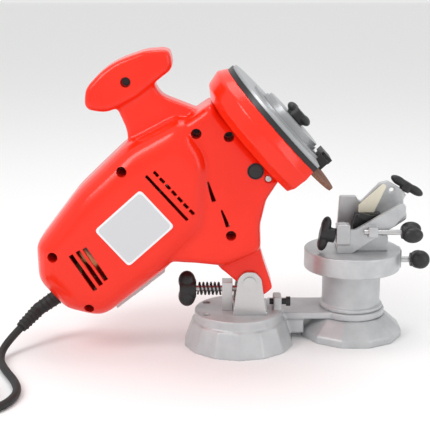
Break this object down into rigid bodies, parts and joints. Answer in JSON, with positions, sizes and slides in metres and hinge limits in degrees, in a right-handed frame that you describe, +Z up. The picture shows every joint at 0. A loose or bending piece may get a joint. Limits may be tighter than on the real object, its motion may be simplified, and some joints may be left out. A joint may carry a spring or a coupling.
{
  "type": "electric chain sharpener",
  "caption": "Bench chain sharpener: swinging motor head with a guarded grinding wheel, cast base, and a turning chain vise on a pillar.",
  "frame": {"origin": "underside of the machine base, under its centre", "axes": "+X from the hinge towards the vise, +Z up, -Y towards the side with the rating plate"},
  "size_m": [0.513, 0.2822, 0.2846],
  "materials": {
    "red_plastic": "gloss",
    "black_plastic": "satin",
    "label": "satin",
    "grey_plastic": "satin",
    "cast": "sand cast, painted silver",
    "jaw_metal": "die cast",
    "steel": "machined",
    "zinc": "zinc plated",
    "dark_steel": "black",
    "copper": "enamelled copper",
    "iron": "laminated iron",
    "carbon": "carbon",
    "brass": "brass",
    "cover_steel": "grey",
    "abrasive": "bonded abrasive",
    "cream": "satin",
    "rubber": "satin"
  },
  "bodies": {
    "base": {"machine_base": "cast", "rest_stop_screw": "dark_steel", "hinge_bracket": "zinc", "hinge_pin": "zinc", "bracket_bolts": "zinc", "depth_block": "zinc", "depth_spring": "dark_steel", "vise_foot": "cast", "pillar": "cast", "pillar_bolt": "zinc", "power_cord": "rubber", "cord_coil": "rubber", "plug": "rubber"},
    "head": {"housing_front_half": "red_plastic", "housing_back_half": "red_plastic", "housing_screws": "dark_steel", "hinge_bush": "steel", "rating_plate": "label", "stator_core": "iron", "field_coils": "copper", "motor_bearings": "steel", "spindle_bearings": "steel", "carbon_brushes": "carbon", "brush_holders": "brass", "gear_plate": "cast", "wheel_guard": "red_plastic", "guard_screws": "zinc", "guard_ring": "dark_steel", "guard_cover": "cover_steel", "spark_deflector": "black_plastic", "switch_body": "grey_plastic", "strain_relief": "rubber"},
    "armature": {"armature_shaft": "steel", "armature_core": "iron", "commutator": "copper", "cooling_fan": "black_plastic", "motor_pinion": "steel"},
    "wheel_set": {"spindle": "steel", "spindle_gear": "steel", "inner_flange": "steel", "grinding_wheel": "abrasive", "outer_flange": "steel", "wheel_nut": "zinc"},
    "cover_knob": {"cover_knob": "black_plastic"},
    "lock_button": {"spindle_lock_button": "black_plastic"},
    "rocker": {"switch_rocker": "black_plastic"},
    "depth_screw": {"depth_screw": "zinc"},
    "depth_knob": {"depth_knob": "black_plastic"},
    "vise": {"vise_turntable": "jaw_metal", "vise_body": "jaw_metal", "front_jaw": "jaw_metal", "rear_jaw": "jaw_metal"},
    "lock_thumbscrew": {"lock_thumbscrew": "black_plastic"},
    "clamp_wing": {"clamp_wing_screw": "black_plastic"},
    "rail_wing": {"rail_wing_screw": "black_plastic"},
    "stop_screw": {"stop_rod": "zinc", "stop_knob": "black_plastic"},
    "carriage": {"stop_carriage": "black_plastic", "chain_stop_plate": "cream"},
    "pawl": {"chain_pawl": "dark_steel"}
  },
  "joints": [
    {"name": "head_swing", "type": "hinge", "parent": "base", "child": "head", "pos_m": [0.01, 0, 0.066], "axis": [0, 1, 0], "range_deg": [0, 18]},
    {"name": "wheel_spin", "type": "hinge", "parent": "head", "child": "wheel_set", "pos_m": [0.03353, 0, 0.20426], "axis": [0.7431, 0, 0.6691], "continuous": true},
    {"name": "motor_spin", "type": "hinge", "parent": "head", "child": "armature", "pos_m": [-0.0703, 0, 0.15518], "axis": [0.7431, 0, 0.6691], "continuous": true},
    {"name": "cover_knob_turn", "type": "hinge", "parent": "head", "child": "cover_knob", "pos_m": [0.04839, 0, 0.21764], "axis": [0.7431, 0, 0.6691], "range_deg": [-720, 0]},
    {"name": "lock_button_press", "type": "slide", "parent": "head", "child": "lock_button", "axis": [0, 1, 0], "range_m": [0, 0.0035], "stiffness_N_per_m": 400},
    {"name": "rocker_tip", "type": "hinge", "parent": "head", "child": "rocker", "pos_m": [-0.09357, 0, 0.05698], "axis": [0, 1, 0], "range_deg": [-8, 8]},
    {"name": "depth_turn", "type": "hinge", "parent": "depth_screw", "child": "depth_knob", "pos_m": [-0.05, 0, 0.054], "axis": [1, 0, 0], "range_deg": [-30, 1185]},
    {"name": "depth_feed", "type": "slide", "parent": "base", "child": "depth_screw", "axis": [1, 0, 0], "range_m": [0, 0.004], "deforming": ["depth_spring"]},
    {"name": "vise_turn", "type": "hinge", "parent": "base", "child": "vise", "pos_m": [0.112, 0.028, 0.075], "axis": [0, 0, 1], "range_deg": [-35, 35]},
    {"name": "vise_lock_turn", "type": "hinge", "parent": "vise", "child": "lock_thumbscrew", "pos_m": [0.16, 0.028, 0.075], "axis": [1, 0, 0], "range_deg": [-360, 0]},
    {"name": "clamp_turn", "type": "hinge", "parent": "vise", "child": "clamp_wing", "pos_m": [0.09, 0.0122, 0.1055], "axis": [1, 0, 0], "range_deg": [-90, 90]},
    {"name": "rail_wing_turn", "type": "hinge", "parent": "vise", "child": "rail_wing", "pos_m": [0.16228, 0.0455, 0.13864], "axis": [0.5151, 0, 0.8571], "range_deg": [-180, 180]},
    {"name": "stop_turn", "type": "hinge", "parent": "vise", "child": "stop_screw", "pos_m": [0.14, 0.0037, 0.109], "axis": [1, 0, 0], "range_deg": [-30, 1470]},
    {"name": "carriage_slide", "type": "slide", "parent": "vise", "child": "carriage", "axis": [0.8321, 0, 0.5547], "range_m": [0, 0.004]},
    {"name": "pawl_tip", "type": "hinge", "parent": "carriage", "child": "pawl", "pos_m": [0.135, 0.018, 0.1195], "axis": [0, 1, 0], "range_deg": [0, 50]}
  ],
  "couplings": [
    {"joint": "motor_spin", "follows": "wheel_spin", "ratio": -4.5},
    {"joint": "depth_turn", "follows": "depth_feed", "rad_per_m": 5026.5},
    {"joint": "stop_turn", "follows": "carriage_slide", "rad_per_m": 6283.2}
  ]
}
